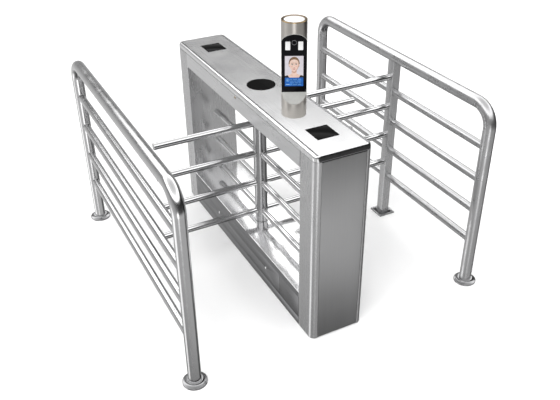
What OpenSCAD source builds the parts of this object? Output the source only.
// Half-height rotary gate with a face-reading totem, two tubular fences and a fixed comb.
// The origin is on the floor at the middle of the cabinet. +Z is up, +Y runs along the cabinet to
// its rear pedestal, and +X points to the fence that carries the comb. Units are millimetres.

/* [Cabinet] */
// Length of the cabinet
cabinet_l = 1540; // [1400:10:1700]
// Width of the cabinet
cabinet_w = 280; // [270:5:320]
// Height of the cabinet with its lid
cabinet_h = 980; // [960:5:1040]
// Length of one pedestal along the cabinet
pedestal_l = 128; // [110:2:160]
// Radius of the upright corners
corner_r = 30; // [20:1:40]
// Thickness of the sheet metal
sheet_t = 2; // [1.5:0.5:3]
// Height of the top beam without the lid
beam_h = 80; // [80:1:90]
// Height of the sill that joins the pedestals
sill_h = 198; // [190:1:220]
// Height of the floor plate's folded rim
rim_h = 28; // [20:1:35]
// Height of the skirting strips
skirting_h = 45; // [30:1:60]

/* [Lid] */
// Height of the lid
lid_h = 27; // [24:1:32]
// Radius of the lid's long top edges
lid_edge_r = 13; // [8:1:13]
// Width of a reader window across the cabinet
window_w = 108; // [80:2:120]
// Length of a reader window along the cabinet
window_l = 112; // [80:2:130]
// Distance of each reader window from the middle of the lid
window_y = 585; // [500:5:620]
// Diameter of the round window over the rotor
disc_d = 142; // [120:2:160]

/* [Totem] */
// Outer diameter of the totem tube
totem_d = 112; // [100:2:130]
// Height of the totem above the lid
totem_h = 433; // [400:1:500]
// Place of the totem across the cabinet
totem_x = -16; // [-30:1:10]
// Distance of the totem in front of the middle of the lid
totem_y = 362; // [300:2:420]
// Turn of the totem's face towards the passage, in degrees
totem_turn = 27; // [0:1:45]

/* [Rotor] */
// Place of the rotor axis across the cabinet
rotor_x = -14; // [-14:1:14]
// Reach of the arms from the rotor axis
arm_reach = 558; // [480:2:600]
// Outer diameter of an arm
arm_d = 34; // [30:1:40]
// Height of the lowest arm
arm_low_z = 265; // [250:1:290]
// Height step between two arms
arm_step = 172; // [150:1:180]
// Outer diameter of the rotor post
post_d = 68; // [60:2:80]
// Diameter of the steel rotor shaft
shaft_d = 28; // [24:1:32]

/* [Fences] */
// Distance of the passage fence from the middle of the cabinet
passage_x = 722; // [680:2:800]
// Distance of the comb fence from the middle of the cabinet
comb_x = 796; // [760:2:860]
// Half the distance between the two posts of a fence
fence_half_l = 752; // [700:5:800]
// Height of the top rail's axis
fence_top_z = 978; // [950:1:1020]
// Diameter of the fence posts and top rail
fence_d = 60; // [50:1:76]
// Diameter of the thin rails
rail_d = 38; // [30:1:42]
// Height of the lowest thin rail
rail_low_z = 255; // [230:1:280]
// Height step between thin rails
rail_step = 175; // [160:1:180]
// Bend radius at the fence corners
fence_bend_r = 100; // [80:1:120]
// Diameter of the round foot covers
cover_d = 112; // [100:2:130]
// Side of the square middle post
mid_post_w = 50; // [40:1:60]
// Distance of the comb bars' free ends from the middle of the cabinet
comb_start_x = 205; // [155:1:300]

/* [Lock mechanism] */
// Teeth on the drive gear
drive_teeth = 60; // [60]
// Teeth on the damper pinion
damper_teeth = 15; // [15]
// Teeth on the counting encoder's pinion
encoder_teeth = 20; // [20]
// Gear module
gear_module = 2; // [2]
// Radius of the lock disc
lock_disc_r = 66; // [60:1:70]

/* [Hidden] */
$fn = 64;

gap = 0.3;
end_y = cabinet_l / 2;
side_x = cabinet_w / 2;
open_y = end_y - pedestal_l;
lid_z = cabinet_h - lid_h;
beam_z = lid_z - beam_h;
rim_z = sill_h - rim_h;
// corner centre of the pedestal's rounded outer edges
corner_x = side_x - corner_r;
levels = [0:3];
bottom_gap = 2;
base_t = 8;
anchor_x = 100;
anchor_y = end_y - 64;
anchor_r = 7;
sill_bolt_y = 295;
sill_bolt_z = 107;
sill_bolt_r = 3;

// lid
lid_step_h = 3;
lid_step_in = 1.5;
lid_wall = 2;
lid_in_x = side_x - 4.5;
lid_lip_t = 4;

// hinge and key lock
hinge_x = side_x + 3.5;
hinge_z = lid_z - 2;
knuckle_r = 3.5;
hinge_pin_r = 1.5;
hinge_ys = [-480, 0, 480];
hinge_l = 60;
lock_z = lid_z - 12;
plug_r = 6;
barrel_r = 8;
cam_len = 24;
cam_half_w = 6;
cam_x = -118;
cam_t = 3;

// totem: heights above the floor
totem_r = totem_d / 2;
totem_wall = 3;
totem_top = cabinet_h + totem_h;
face_y = -10;
glass_t = 6;
arch_z = cabinet_h + 328;
arch_r = totem_r + 1;
glass_z = cabinet_h + 107;
scoop_drop = 38;
screen_w = 80;
screen_z = cabinet_h + 135;
screen_h = 138;
lamp_w = 21;
lamp_h = 38;
lamp_x = 27.5;
lamp_z = cabinet_h + 318;
camera_z = cabinet_h + 332;
camera_r = 11;
inlay = 1;

// rotor
post_r = post_d / 2;
arm_r = arm_d / 2;
arm_wall = 1.5;
cap_t = 2;
post_bottom = sill_h + 2;
post_top = beam_z - 2;
shaft_r = shaft_d / 2;
shaft_bottom = rim_z;
run_gap = 0.05;

// mechanism stack inside the beam
plate_z = beam_z + sheet_t;
plate_t = 6;
mech_z = plate_z + plate_t;
bearing_r = 26;
bearing_h = 15;
disc_z = plate_z + 30;
disc_t = 8;
gear_z = disc_z + 14;
gear_t = 8;
shaft_top = gear_z + gear_t + 8;
lower_top = sill_h - 3;
drive_r = gear_module * drive_teeth / 2;
damper_r = gear_module * damper_teeth / 2;
encoder_r = gear_module * encoder_teeth / 2;
damper_x = drive_r + damper_r;
encoder_x = -(drive_r + encoder_r);
pawl_pivot_x = -48;
pawl_y = 84;
pawl_half_w = 6;
pawl_tail_x = 36;
pawl_nose_half_w = 5;
pawl_clear = 2;
pin_r = 4;
plunger_x = 28;
plunger_r = 5;
plunger_gap = 2;
solenoid_y = 118;
solenoid_l = 60;
solenoid_w = 34;

// fences
fence_r = fence_d / 2;
fence_wall = 2;
rail_r = rail_d / 2;
rail_wall = 1.5;
flange_r = 50;
flange_t = 8;
cover_r = cover_d / 2;
cover_h = 20;
cover_rim_h = 8;
cover_top_r = 37;
cover_wall = 1.5;
flange_pcd = 80;
flange_hole_r = 5.5;
comb_plate_w = 100;
comb_plate_t = 10;
comb_hole_pitch = 75;
comb_hole_r = 6;
steel = "silver";
satin = "lightgray";
dark = [0.1, 0.1, 0.11];

// ---- helpers ----

// Rectangle with round corners, centred, made of exact arcs
module round_rect(w, l, r) {
  square([w - 2 * r, l], center = true);
  square([w, l - 2 * r], center = true);
  for (sx = [-1, 1], sy = [-1, 1])
    translate([sx * (w / 2 - r), sy * (l / 2 - r)]) circle(r);
}

// Hollow round tube along +Z
module tube(r, wall, h) {
  difference() {
    cylinder(r = r, h = h);
    translate([0, 0, -1]) cylinder(r = r - wall, h = h + 2);
  }
}

// Box between two corners
module span(a, b) {
  translate(a) cube(b - a);
}

// Everything that repeats on both sides of the X = 0 plane
module both_sides() {
  children();
  mirror([1, 0, 0]) children();
}

// Everything that repeats at both ends of the cabinet
module both_ends() {
  children();
  mirror([0, 1, 0]) children();
}

// ---- cabinet ----

// One corner upright of angle section
module upright() {
  leg = 28;
  translate([side_x - 20 - leg, open_y + 12, base_t])
    difference() {
      cube([leg, leg, beam_z - base_t - 10]);
      translate([-1, 3, -1]) cube([leg - 2, leg, beam_z]);
    }
}

module base_frame() {
  foot_x = side_x - 20;
  rail_x = side_x - 8;
  rail_w = 30;
  color(satin)
    difference() {
      union() {
        both_ends() span([-foot_x, open_y + 8, 0], [foot_x, end_y - 16, base_t]);
        both_sides() span([rail_x - rail_w, -open_y + 4, 0], [rail_x, open_y - 4, base_t]);
        both_ends() both_sides() upright();
      }
      both_ends() both_sides()
        translate([anchor_x, anchor_y, -1]) cylinder(r = anchor_r, h = base_t + 2);
      translate([0, -anchor_y, -1]) cylinder(r = 12.5, h = base_t + 2);
    }
}

// Plan of a pedestal from the opening outwards, shrunk by inset
module pedestal_plan(inset) {
  r = corner_r - inset;
  difference() {
    translate([0, end_y - corner_r - pedestal_l / 2])
      round_rect(cabinet_w - 2 * inset, pedestal_l + 2 * corner_r - 2 * inset, r);
    translate([-side_x - 1, open_y - pedestal_l]) square([cabinet_w + 2, pedestal_l + inset]);
  }
}

module pedestal_shell() {
  door_half = corner_x - 0.5;
  difference() {
    translate([0, 0, bottom_gap])
      linear_extrude(lid_z - 1 - bottom_gap)
        difference() {
          pedestal_plan(0);
          pedestal_plan(sheet_t);
          translate([-door_half, end_y - 10]) square([2 * door_half, 20]);
        }
    // cable ports into the beam and the sill
    span([-90, open_y - 1, beam_z + 12], [90, open_y + sheet_t + 1, lid_z - 12]);
    span([-90, open_y - 1, 60], [90, open_y + sheet_t + 1, 150]);
  }
}

module front_pedestal_shell() {
  color(steel) mirror([0, 1, 0]) pedestal_shell();
}

module rear_pedestal_shell() {
  color(steel) pedestal_shell();
}

module end_panels() {
  half_w = corner_x - 2;
  hem = 14;
  low = bottom_gap + 4;
  high = lid_z - 4;
  color(satin)
    both_ends() {
      span([-half_w, end_y - sheet_t, low], [half_w, end_y, high]);
      both_sides() span([half_w - sheet_t, end_y - hem, low], [half_w, end_y - sheet_t, high]);
    }
}

// Places children on the four bolts of the sill, each with +Z out of the side
module at_sill_bolts() {
  for (s = [-1, 1], y = [-sill_bolt_y, sill_bolt_y])
    translate([s * side_x, y, sill_bolt_z]) rotate([0, s * 90, 0]) children();
}

module sill_panels() {
  seam_y = -447;
  seam = 1.5;
  reach = open_y - gap;
  color([0.45, 0.45, 0.47])
    difference() {
      both_sides() {
        span([side_x - sheet_t, -reach, bottom_gap], [side_x, reach, skirting_h]);
        span([side_x - sheet_t, -reach, skirting_h + seam], [side_x, seam_y - seam, rim_z - 1]);
        span([side_x - sheet_t, seam_y, skirting_h + seam], [side_x, reach, rim_z - 1]);
      }
      at_sill_bolts() cylinder(r = sill_bolt_r, h = 20, center = true);
    }
}

module floor_plate() {
  reach = open_y - gap;
  top_t = 3;
  color("white")
    difference() {
      span([-side_x, -reach, rim_z], [side_x, reach, sill_h]);
      span([-side_x + sheet_t, -reach - 1, rim_z - 1], [side_x - sheet_t, reach + 1, sill_h - top_t]);
      translate([rotor_x, 0, rim_z]) cylinder(r = shaft_r + 4, h = rim_h + 1);
    }
}

module beam_shell() {
  reach = open_y - gap;
  color(steel)
    difference() {
      span([-side_x, -reach, beam_z], [side_x, reach, lid_z - 1]);
      span([-side_x + sheet_t, -reach - 1, beam_z + sheet_t], [side_x - sheet_t, reach + 1, lid_z]);
      translate([rotor_x, 0, beam_z - 1]) cylinder(r = shaft_r + 6, h = sheet_t + 2);
      translate([-side_x - 1, 0, lock_z]) rotate([0, 90, 0]) cylinder(r = barrel_r + 0.2, h = 4);
    }
}

module control_board() {
  wall_y = -open_y - sheet_t;
  board_y = wall_y - 10;
  color("darkgreen") {
    span([-75, board_y - 2, 520], [75, board_y, 740]);
    for (sx = [-65, 65], z = [530, 730])
      translate([sx, wall_y, z]) rotate([90, 0, 0]) cylinder(r = 4, h = 10);
    span([-60, board_y - 14, 545], [-20, board_y - 2, 600]);
    span([0, board_y - 12, 545], [60, board_y - 2, 570]);
    for (x = [-50, -25]) translate([x, board_y - 2, 700]) rotate([90, 0, 0]) cylinder(r = 8, h = 22);
    span([10, board_y - 8, 640], [45, board_y - 2, 675]);
  }
}

module power_supply() {
  wall_y = open_y + sheet_t;
  color("silver")
    difference() {
      span([-50, wall_y, 300], [50, wall_y + 45, 500]);
      for (z = [320:12:480]) span([-35, wall_y + 43, z], [35, wall_y + 46, z + 5]);
    }
}

module cable_gland() {
  color(dark)
    translate([0, -anchor_y, 0])
      difference() {
        union() {
          translate([0, 0, 1]) cylinder(r = 12.3, h = base_t + 12);
          translate([0, 0, base_t]) cylinder(r = 17, h = 7, $fn = 6);
        }
        cylinder(r = 6, h = base_t + 20);
      }
}

// ---- lid ----

// Cross-section of the lid: half width, top height, edge radius and lower step
module lid_section(half_w, top, edge_r, step_in) {
  base = lid_z - (step_in > 0 ? 0 : 1);
  translate([-half_w + step_in, base]) square([2 * (half_w - step_in), top - base - edge_r]);
  translate([-half_w, lid_z + (step_in > 0 ? lid_step_h : -1)])
    square([2 * half_w, top - lid_z - edge_r - (step_in > 0 ? lid_step_h : -1)]);
  translate([-half_w + edge_r, base]) square([2 * (half_w - edge_r), top - base]);
  for (s = [-1, 1]) translate([s * (half_w - edge_r), top - edge_r]) circle(edge_r);
}

module lid_body(half_w, half_l, top, edge_r, plan_r, step_in) {
  intersection() {
    translate([0, half_l, 0]) rotate([90, 0, 0])
      linear_extrude(2 * half_l) lid_section(half_w, top, edge_r, step_in);
    translate([0, 0, lid_z - 2])
      linear_extrude(lid_h + 10) round_rect(2 * half_w, 2 * half_l, plan_r);
  }
}

module lid() {
  color(steel)
    difference() {
      lid_body(side_x, end_y, cabinet_h, lid_edge_r, corner_r, lid_step_in);
      lid_body(lid_in_x, end_y - 4.5, cabinet_h - lid_wall, lid_edge_r - 4, corner_r - 4.5, 0);
      both_ends()
        translate([0, window_y, cabinet_h]) cube([window_w + 0.4, window_l + 0.4, 10], center = true);
      translate([0, 0, cabinet_h - 5]) cylinder(r = disc_d / 2 + 0.2, h = 10);
      translate([totem_x, -totem_y, cabinet_h - 5]) cylinder(r = 20, h = 10);
    }
}

module reader_windows() {
  color(dark)
    both_ends()
      translate([0, window_y, 0]) {
        translate([-window_w / 2, -window_l / 2, cabinet_h - lid_wall]) cube([window_w, window_l, lid_wall]);
        translate([-window_w / 2 - 4, -window_l / 2 - 4, cabinet_h - lid_wall - lid_lip_t])
          cube([window_w + 8, window_l + 8, lid_lip_t]);
      }
}

module centre_window() {
  color(dark) {
    translate([0, 0, cabinet_h - lid_wall]) cylinder(r = disc_d / 2, h = lid_wall);
    translate([0, 0, cabinet_h - lid_wall - lid_lip_t]) cylinder(r = disc_d / 2 + 5, h = lid_lip_t);
  }
}

module reader_boards() {
  top = cabinet_h - lid_wall - lid_lip_t;
  color("darkgreen")
    both_ends()
      translate([0, window_y, 0]) {
        translate([-45, -45, top - 5]) cube([90, 90, 5]);
        translate([-30, -20, top - 9]) cube([25, 40, 4]);
      }
}

module lid_catch() {
  foot_z = lock_z - cam_half_w - 4;
  color("gray") {
    span([cam_x - 3, cam_len + 2, foot_z], [cam_x + 9, cam_len + 5, cabinet_h - lid_wall]);
    span([cam_x - 3, 12, foot_z], [cam_x + 9, cam_len + 2, foot_z + 3]);
    span([cam_x - 3, cam_len + 5, cabinet_h - lid_wall - 3], [cam_x + 9, cam_len + 22, cabinet_h - lid_wall]);
  }
}

// Knuckles of one hinge over the given thirds of its length
module knuckles(thirds) {
  third = hinge_l / 3;
  for (i = thirds)
    translate([hinge_x, -hinge_l / 2 + i * third + gap, hinge_z]) rotate([-90, 0, 0])
      tube(knuckle_r, knuckle_r - hinge_pin_r - run_gap, third - 2 * gap);
}

module hinge_fixed_leaves() {
  third = hinge_l / 3;
  color("gray")
    for (y = hinge_ys) translate([0, y, 0]) {
      knuckles([0, 2]);
      span([side_x, -hinge_l / 2, hinge_z - 26], [side_x + 1.5, hinge_l / 2, hinge_z - 4.5]);
      for (i = [0, 2])
        difference() {
          span([side_x, -hinge_l / 2 + i * third + gap, hinge_z - 5],
               [side_x + 2, -hinge_l / 2 + (i + 1) * third - gap, hinge_z]);
          translate([hinge_x, -hinge_l, hinge_z]) rotate([-90, 0, 0]) cylinder(r = 2.5, h = 2 * hinge_l);
        }
      translate([hinge_x, -hinge_l / 2, hinge_z]) rotate([-90, 0, 0]) cylinder(r = hinge_pin_r, h = hinge_l);
    }
}

module hinge_lid_leaves() {
  third = hinge_l / 3;
  color("gray")
    for (y = hinge_ys) translate([0, y, 0]) {
      knuckles([1]);
      span([side_x, -hinge_l / 2, lid_z + lid_step_h], [side_x + 1.5, hinge_l / 2, cabinet_h - lid_edge_r]);
      difference() {
        span([side_x, -third / 2 + gap, hinge_z], [side_x + 1.5, third / 2 - gap, lid_z + lid_step_h + 1]);
        translate([hinge_x, -hinge_l, hinge_z]) rotate([-90, 0, 0]) cylinder(r = 2.5, h = 2 * hinge_l);
      }
    }
}

// Cylinder along +X from x0 to x1 at the key lock
module lock_round(x0, x1, r) {
  translate([x0, 0, lock_z]) rotate([0, 90, 0]) cylinder(r = r, h = x1 - x0);
}

module lock_barrel() {
  color("gray")
    difference() {
      union() {
        lock_round(-side_x - 2, -side_x, barrel_r + 1.5);
        lock_round(-side_x, cam_x - 3, barrel_r);
      }
      lock_round(-side_x - 3, cam_x, plug_r + run_gap);
    }
}

module lock_plug() {
  color("goldenrod")
    difference() {
      lock_round(-side_x - 2.5, cam_x, plug_r);
      span([-side_x - 3, -0.8, lock_z - 4], [-side_x - 1, 0.8, lock_z + 4]);
    }
}

module lock_cam() {
  color("gray") {
    lock_round(cam_x, cam_x + cam_t, plug_r + 2);
    span([cam_x, -cam_half_w, lock_z], [cam_x + cam_t, cam_half_w, lock_z + cam_len]);
  }
}

// ---- totem: built facing -Y at its own axis, then turned and placed ----

module at_totem() {
  translate([totem_x, -totem_y, 0]) rotate([0, 0, -totem_turn]) children();
}

// Arch-topped block that reaches forward from y_back
module arch_block(r, y_back) {
  translate([0, y_back, 0]) rotate([90, 0, 0])
    linear_extrude(2 * totem_r) {
      translate([0, arch_z]) circle(r, $fn = 96);
      translate([-r, glass_z - 60]) square([2 * r, arch_z - glass_z + 60]);
    }
}

// Side view of the sloped lip under the glass, grown down by thick
module lip_wedge(thick) {
  reach = totem_r + 4;
  rise = scoop_drop / (totem_r + face_y);
  low = glass_z - rise * (reach + face_y);
  rotate([90, 0, 90])
    translate([0, 0, -100]) linear_extrude(200)
      polygon(concat([[face_y + glass_t, glass_z], [face_y, glass_z], [-reach, low]],
        thick == 0 ? [[-reach, 2 * glass_z], [face_y + glass_t, 2 * glass_z]]
                   : [[-reach, low - thick], [face_y + glass_t, glass_z - thick]]));
}

// The hollow in front of the glass
module totem_pocket(r) {
  intersection() {
    arch_block(r, face_y + glass_t);
    lip_wedge(0);
  }
}

module totem_tube() {
  liner = 2;
  color([0.78, 0.74, 0.68])
    at_totem()
      difference() {
        union() {
          translate([0, 0, cabinet_h]) tube(totem_r, totem_wall, totem_h - 4);
          // liner that closes the roof of the hollow
          intersection() {
            translate([0, 0, cabinet_h]) cylinder(r = totem_r - 1, h = totem_h - 20);
            difference() {
              arch_block(arch_r + liner, face_y + glass_t);
              arch_block(arch_r, face_y + glass_t + 1);
              translate([-100, -100, 0]) cube([200, 200, arch_z - 2]);
            }
          }
        }
        totem_pocket(arch_r);
      }
}

module totem_scoop() {
  color([0.85, 0.85, 0.83])
    at_totem()
      intersection() {
        translate([0, 0, cabinet_h]) cylinder(r = totem_r - totem_wall, h = totem_h);
        lip_wedge(4);
      }
}

module totem_panel() {
  color(dark)
    at_totem()
      difference() {
        intersection() {
          translate([0, 0, glass_z]) cylinder(r = totem_r, h = 400);
          arch_block(arch_r - 0.2, face_y + glass_t);
          translate([-100, face_y, glass_z + 0.2]) cube([200, glass_t, 400]);
        }
        span([-screen_w / 2, face_y - 1, screen_z], [screen_w / 2, face_y + inlay, screen_z + screen_h]);
        for (s = [-1, 1])
          translate([s * lamp_x - lamp_w / 2, face_y - 1, lamp_z - lamp_h / 2])
            cube([lamp_w, inlay + 1, lamp_h]);
        translate([0, face_y + 3, camera_z]) rotate([90, 0, 0]) cylinder(r = camera_r, h = 10);
      }
}

module totem_screen() {
  color([0.3, 0.5, 0.8])
    at_totem()
      span([-screen_w / 2, face_y, screen_z], [screen_w / 2, face_y + inlay, screen_z + screen_h]);
}

module totem_lamps() {
  color("white")
    at_totem()
      for (s = [-1, 1])
        translate([s * lamp_x - lamp_w / 2, face_y, lamp_z - lamp_h / 2]) cube([lamp_w, inlay, lamp_h]);
}

module totem_camera() {
  color([0.25, 0.25, 0.27])
    at_totem()
      translate([0, face_y + 3, camera_z]) rotate([90, 0, 0]) {
        tube(camera_r, 3, 4);
        cylinder(r = camera_r - 3, h = 2);
      }
}

module totem_rim() {
  color([0.6, 0.5, 0.35])
    at_totem() translate([0, 0, totem_top - 4]) tube(totem_r, 7, 4);
}

module totem_diffuser() {
  color("white")
    at_totem() translate([0, 0, totem_top - 8]) cylinder(r = totem_r - 7.1, h = 6.5);
}

module totem_flange() {
  bolt_pcd_r = 32;
  color("gray")
    at_totem() {
      difference() {
        translate([0, 0, cabinet_h - lid_wall - 6]) cylinder(r = totem_r - 12, h = 6);
        translate([0, 0, cabinet_h - lid_wall - 7]) cylinder(r = 18, h = 8);
      }
      for (a = [0:90:270])
        rotate([0, 0, a])
          translate([bolt_pcd_r, 0, cabinet_h - lid_wall - 11]) cylinder(r = 5, h = 5, $fn = 6);
    }
}

// ---- rotor and its mechanism: built round the Z axis, then moved to the rotor axis ----

module at_rotor() {
  translate([rotor_x, 0, 0]) children();
}

module rotor_post() {
  color("silver")
    difference() {
      translate([0, 0, post_bottom]) cylinder(r = post_r, h = post_top - post_bottom);
      translate([0, 0, post_bottom + 8]) cylinder(r = post_r - 3, h = post_top - post_bottom - 16);
      translate([0, 0, 0]) cylinder(r = shaft_r, h = cabinet_h);
    }
}

module rotor_shaft() {
  color("gray")
    translate([0, 0, shaft_bottom]) cylinder(r = shaft_r, h = shaft_top - shaft_bottom);
}

// One column of arms pointing along +X, cut to sit on the post
module arm_column() {
  for (i = levels)
    difference() {
      translate([0, 0, arm_low_z + i * arm_step]) rotate([0, 90, 0]) tube(arm_r, arm_wall, arm_reach - cap_t);
      cylinder(r = post_r + 0.02, h = cabinet_h);
    }
}

module arms() {
  color("silver")
    for (a = [0:90:270]) rotate([0, 0, a]) arm_column();
}

module arm_caps() {
  color("silver")
    for (a = [0:90:270], i = levels)
      rotate([0, 0, a]) translate([arm_reach - cap_t, 0, arm_low_z + i * arm_step]) rotate([0, 90, 0])
        cylinder(r1 = arm_r, r2 = arm_r - 2, h = cap_t);
}

module lock_disc() {
  notch_half_w = 8;
  notch_d = 11;
  color("dimgray")
    difference() {
      union() {
        translate([0, 0, disc_z]) cylinder(r = lock_disc_r, h = disc_t);
        translate([0, 0, disc_z]) cylinder(r = shaft_r + 8, h = gear_z - disc_z);
      }
      for (a = [0:90:270])
        rotate([0, 0, a]) span([lock_disc_r - notch_d, -notch_half_w, disc_z - 1],
                               [lock_disc_r + 1, notch_half_w, disc_z + disc_t + 1]);
      cylinder(r = shaft_r, h = cabinet_h);
    }
}

// Spur gear outline: trapezoid teeth with room for running
module gear_outline(teeth) {
  pitch = gear_module * teeth / 2;
  circle(pitch - 1.25 * gear_module, $fn = 120);
  for (i = [0:teeth - 1])
    rotate(i * 360 / teeth)
      polygon([[pitch - 3.2, -1.6], [pitch, -1.15], [pitch + 1.5, -0.55],
               [pitch + 1.5, 0.55], [pitch, 1.15], [pitch - 3.2, 1.6]]);
}

module drive_gear() {
  color("goldenrod")
    translate([0, 0, gear_z])
      difference() {
        linear_extrude(gear_t) gear_outline(drive_teeth);
        translate([0, 0, -1]) cylinder(r = shaft_r, h = gear_t + 2);
        for (a = [0:60:300]) rotate([0, 0, a]) translate([37, 0, -1]) cylinder(r = 10, h = gear_t + 2);
      }
}

// ---- bearings and lock mechanism ----

module mechanism_plate() {
  color("lightgray")
    difference() {
      span([-115, -190, plate_z], [115, 190, plate_z + plate_t]);
      translate([0, 0, plate_z - 1]) cylinder(r = shaft_r + 4, h = plate_t + 2);
    }
}

module upper_bearing_housing() {
  color("gray")
    translate([0, 0, mech_z])
      difference() {
        union() {
          cylinder(r = 48, h = 6);
          cylinder(r = 36, h = bearing_h + 3);
        }
        translate([0, 0, 3]) cylinder(r = bearing_r, h = bearing_h + 1);
        translate([0, 0, -1]) cylinder(r = shaft_r + 4, h = 10);
      }
}

module bearing_ring(z) {
  translate([0, 0, z])
    difference() {
      cylinder(r = bearing_r, h = bearing_h);
      translate([0, 0, -1]) cylinder(r = shaft_r + run_gap, h = bearing_h + 2);
      for (s = [-1, bearing_h - 2]) translate([0, 0, s]) tube(bearing_r - 4, 4, 3);
    }
}

module rotor_bearings() {
  color("silver") {
    bearing_ring(mech_z + 3);
    bearing_ring(lower_top - 22);
  }
}

module lower_bearing_housing() {
  color("gray")
    difference() {
      union() {
        translate([0, 0, lower_top - 6]) cylinder(r = 50, h = 6);
        translate([0, 0, lower_top - 36]) cylinder(r = 36, h = 36);
      }
      translate([0, 0, lower_top - 28]) cylinder(r = bearing_r, h = 40);
    }
}

// Lock pawl beside the disc on its +Y side
module pawl() {
  nose_y = lock_disc_r + pawl_clear;
  color("dimgray")
    translate([0, 0, disc_z])
      difference() {
        union() {
          translate([pawl_pivot_x, pawl_y - pawl_half_w, 0])
            cube([pawl_tail_x - pawl_pivot_x, 2 * pawl_half_w, disc_t]);
          translate([pawl_pivot_x, pawl_y, 0]) cylinder(r = 10, h = disc_t);
          translate([-pawl_nose_half_w, nose_y, 0]) cube([2 * pawl_nose_half_w, pawl_y - nose_y, disc_t]);
        }
        translate([pawl_pivot_x, pawl_y, -1]) cylinder(r = pin_r + run_gap, h = disc_t + 2);
      }
}

module rear_pawl() {
  pawl();
}

module front_pawl() {
  rotate([0, 0, 180]) pawl();
}

module pawl_pins() {
  color("silver")
    for (a = [0, 180])
      rotate([0, 0, a]) translate([pawl_pivot_x, pawl_y, mech_z]) {
        cylinder(r = pin_r, h = disc_z + disc_t + 5 - mech_z);
        cylinder(r = 9, h = disc_z - mech_z - 0.5);
        translate([0, 0, disc_z + disc_t + 1 - mech_z]) cylinder(r = 7, h = 3);
      }
}

module solenoids() {
  color([0.2, 0.2, 0.22])
    for (a = [0, 180])
      rotate([0, 0, a])
        difference() {
          span([plunger_x - solenoid_w / 2, solenoid_y, mech_z],
               [plunger_x + solenoid_w / 2, solenoid_y + solenoid_l, disc_z + disc_t + 12]);
          translate([plunger_x, solenoid_y - 1, disc_z + disc_t / 2]) rotate([-90, 0, 0])
            cylinder(r = plunger_r + 0.4, h = solenoid_l - 8);
        }
}

// Plunger that pushes the pawl's tail towards the disc
module plunger() {
  start = pawl_y + pawl_half_w + plunger_gap;
  color("silver")
    translate([plunger_x, start, disc_z + disc_t / 2]) rotate([-90, 0, 0]) {
      cylinder(r = plunger_r, h = solenoid_y + 36 - start);
      cylinder(r = plunger_r + 1.5, h = 3);
    }
}

// Flat-wire return springs between the solenoids and the plungers' collars
module plunger_springs() {
  wire = 1.2;
  pitch = 2.6;
  color("silver")
    for (a = [0, 180], i = [0:6])
      rotate([0, 0, a])
        translate([plunger_x, solenoid_y - 0.2 - pitch * i, disc_z + disc_t / 2]) rotate([90, 0, 0])
          tube(plunger_r + 0.8 + wire, wire, wire, $fn = 32);
}

module rear_plunger() {
  plunger();
}

module front_plunger() {
  rotate([0, 0, 180]) plunger();
}

// Round device on the plate whose shaft hole faces up
module device(x, r, hole_r) {
  top = disc_z - 2;
  translate([x, 0, mech_z])
    difference() {
      union() {
        cylinder(r = r, h = top - mech_z);
        translate([-6, -r - 8, 0]) cube([12, 2 * r + 16, 4]);
      }
      translate([0, 0, 6]) cylinder(r = hole_r, h = 100);
    }
}

// Pinion with its own shaft down into a device
module pinion(x, teeth, turn, r) {
  low = mech_z + 8;
  translate([x, 0, 0]) {
    translate([0, 0, gear_z]) rotate([0, 0, turn]) linear_extrude(gear_t) gear_outline(teeth);
    translate([0, 0, low]) cylinder(r = r, h = gear_z - low);
  }
}

module damper_body() {
  color("dimgray") device(damper_x, 24, 4 + run_gap);
}

module damper_pinion() {
  color("white") pinion(damper_x, damper_teeth, 0, 4);
}

module encoder_body() {
  color([0.15, 0.2, 0.3]) device(encoder_x, 18, 3 + run_gap);
}

module encoder_pinion() {
  color("white") pinion(encoder_x, encoder_teeth, 180 / encoder_teeth, 3);
}

// ---- fences ----

// Bent tube frame in the YZ plane: two posts and the top rail
module fence_frame() {
  straight_l = 2 * (fence_half_l - fence_bend_r);
  both_ends() {
    translate([0, fence_half_l, flange_t]) tube(fence_r, fence_wall, fence_top_z - fence_bend_r - flange_t);
    translate([0, fence_half_l - fence_bend_r, fence_top_z - fence_bend_r]) rotate([90, 0, 90])
      rotate_extrude(angle = 90) translate([fence_bend_r, 0])
        difference() {
          circle(fence_r);
          circle(fence_r - fence_wall);
        }
  }
  translate([0, -straight_l / 2, fence_top_z]) rotate([-90, 0, 0]) tube(fence_r, fence_wall, straight_l);
}

// Thin rails from y0 to y1, cut to sit on the round posts
module rails(y0, y1) {
  for (i = levels)
    difference() {
      translate([0, y0, rail_low_z + i * rail_step]) rotate([-90, 0, 0]) tube(rail_r, rail_wall, y1 - y0);
      both_ends() translate([0, fence_half_l, 0]) cylinder(r = fence_r + 0.02, h = cabinet_h);
    }
}

module left_fence_frame() {
  color(steel) translate([-passage_x, 0, 0]) fence_frame();
}

module right_fence_frame() {
  color(steel) translate([comb_x, 0, 0]) fence_frame();
}

module left_fence_rails() {
  color(steel) translate([-passage_x, 0, 0]) rails(-fence_half_l, fence_half_l);
}

module right_fence_rails() {
  color(steel)
    translate([comb_x, 0, 0]) {
      rails(-fence_half_l, -mid_post_w / 2);
      rails(mid_post_w / 2, fence_half_l);
    }
}

// Places children at the four round feet
module at_feet() {
  for (x = [-passage_x, comb_x], s = [-1, 1]) translate([x, s * fence_half_l, 0]) children();
}

module fence_flanges() {
  color("gray")
    at_feet()
      difference() {
        cylinder(r = flange_r, h = flange_t);
        for (a = [45:90:315])
          rotate([0, 0, a]) translate([flange_pcd / 2, 0, -1]) cylinder(r = flange_hole_r, h = flange_t + 2);
      }
}

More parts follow.
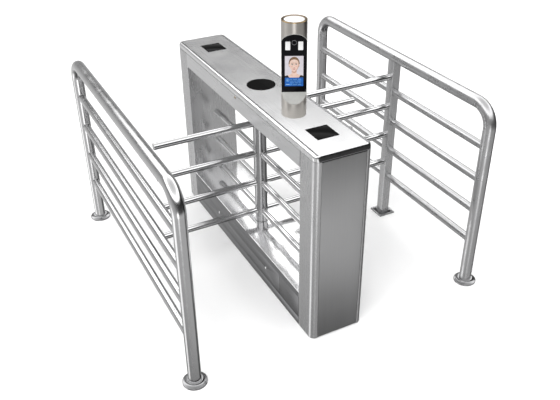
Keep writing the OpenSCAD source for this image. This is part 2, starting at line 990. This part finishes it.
// Domed ring that hides a flange: upright rim, then a quarter-round rise to a flat top
module round_cover() {
  span_r = cover_r - cover_top_r;
  rise = cover_h - cover_rim_h;
  function dome(w) = [for (a = [0:15:90])
    [cover_top_r + (span_r - w) * cos(a), cover_rim_h + (rise - w) * sin(a)]];
  function backwards(v) = [for (i = [len(v) - 1:-1:0]) v[i]];
  rotate_extrude()
    polygon(concat([[cover_r - cover_wall, 0.5], [cover_r, 0.5]], dome(0), [[fence_r + 0.2, cover_h]],
                   [[fence_r + 0.2, cover_h - cover_wall]], backwards(dome(cover_wall))));
}

module fence_covers() {
  half = mid_post_w / 2 + gap;
  collar = 8;
  color("white") {
    at_feet() round_cover();
    translate([comb_x, 0, comb_plate_t])
      difference() {
        span([-half - collar, -half - collar, 0], [half + collar, half + collar, collar]);
        span([-half, -half, -1], [half, half, collar + 1]);
      }
  }
}

// Post of the comb with its floor plate
module comb_post() {
  half = mid_post_w / 2;
  wall = 2.5;
  color(satin)
    translate([comb_x, 0, 0]) {
      difference() {
        span([-comb_plate_w / 2, -comb_plate_w / 2, 0], [comb_plate_w / 2, comb_plate_w / 2, comb_plate_t]);
        for (sx = [-1, 1], sy = [-1, 1])
          translate([sx * comb_hole_pitch / 2, sy * comb_hole_pitch / 2, -1])
            cylinder(r = comb_hole_r, h = comb_plate_t + 2);
      }
      difference() {
        span([-half, -half, comb_plate_t], [half, half, fence_top_z]);
        span([-half + wall, -half + wall, comb_plate_t], [half - wall, half - wall, fence_top_z + 1]);
        translate([0, -100, fence_top_z]) rotate([-90, 0, 0]) cylinder(r = fence_r + 0.02, h = 200);
      }
    }
}

// Height of comb bar i, half-way between two levels of arms
function comb_z(i) = arm_low_z + (i + 0.5) * arm_step;

module comb_bars() {
  bar_end = comb_x - mid_post_w / 2;
  color("silver")
    for (i = levels)
      translate([comb_start_x + cap_t, 0, comb_z(i)]) rotate([0, 90, 0])
        tube(arm_r, arm_wall, bar_end - comb_start_x - cap_t);
}

module comb_caps() {
  color("silver")
    for (i = levels)
      translate([comb_start_x, 0, comb_z(i)]) rotate([0, 90, 0])
        cylinder(r1 = arm_r - 2, r2 = arm_r, h = cap_t);
}

module sill_bolts() {
  color("white")
    at_sill_bolts() {
      translate([0, 0, -sheet_t - 6]) cylinder(r = sill_bolt_r, h = sheet_t + 6);
      cylinder(r = 6, h = 1.5);
    }
}

base_frame();
front_pedestal_shell();
rear_pedestal_shell();
end_panels();
sill_panels();
floor_plate();
beam_shell();
control_board();
power_supply();
cable_gland();
lid();
reader_windows();
centre_window();
reader_boards();
lid_catch();
hinge_fixed_leaves();
hinge_lid_leaves();
lock_barrel();
lock_plug();
lock_cam();
totem_tube();
totem_scoop();
totem_panel();
totem_screen();
totem_lamps();
totem_camera();
totem_rim();
totem_diffuser();
totem_flange();
at_rotor() rotor_post();
at_rotor() rotor_shaft();
at_rotor() arms();
at_rotor() arm_caps();
at_rotor() lock_disc();
at_rotor() drive_gear();
at_rotor() mechanism_plate();
at_rotor() upper_bearing_housing();
at_rotor() lower_bearing_housing();
at_rotor() rotor_bearings();
at_rotor() rear_pawl();
at_rotor() front_pawl();
at_rotor() pawl_pins();
at_rotor() solenoids();
at_rotor() plunger_springs();
at_rotor() rear_plunger();
at_rotor() front_plunger();
at_rotor() damper_body();
at_rotor() damper_pinion();
at_rotor() encoder_body();
at_rotor() encoder_pinion();
left_fence_frame();
left_fence_rails();
right_fence_frame();
right_fence_rails();
fence_flanges();
fence_covers();
comb_post();
comb_bars();
comb_caps();
sill_bolts();
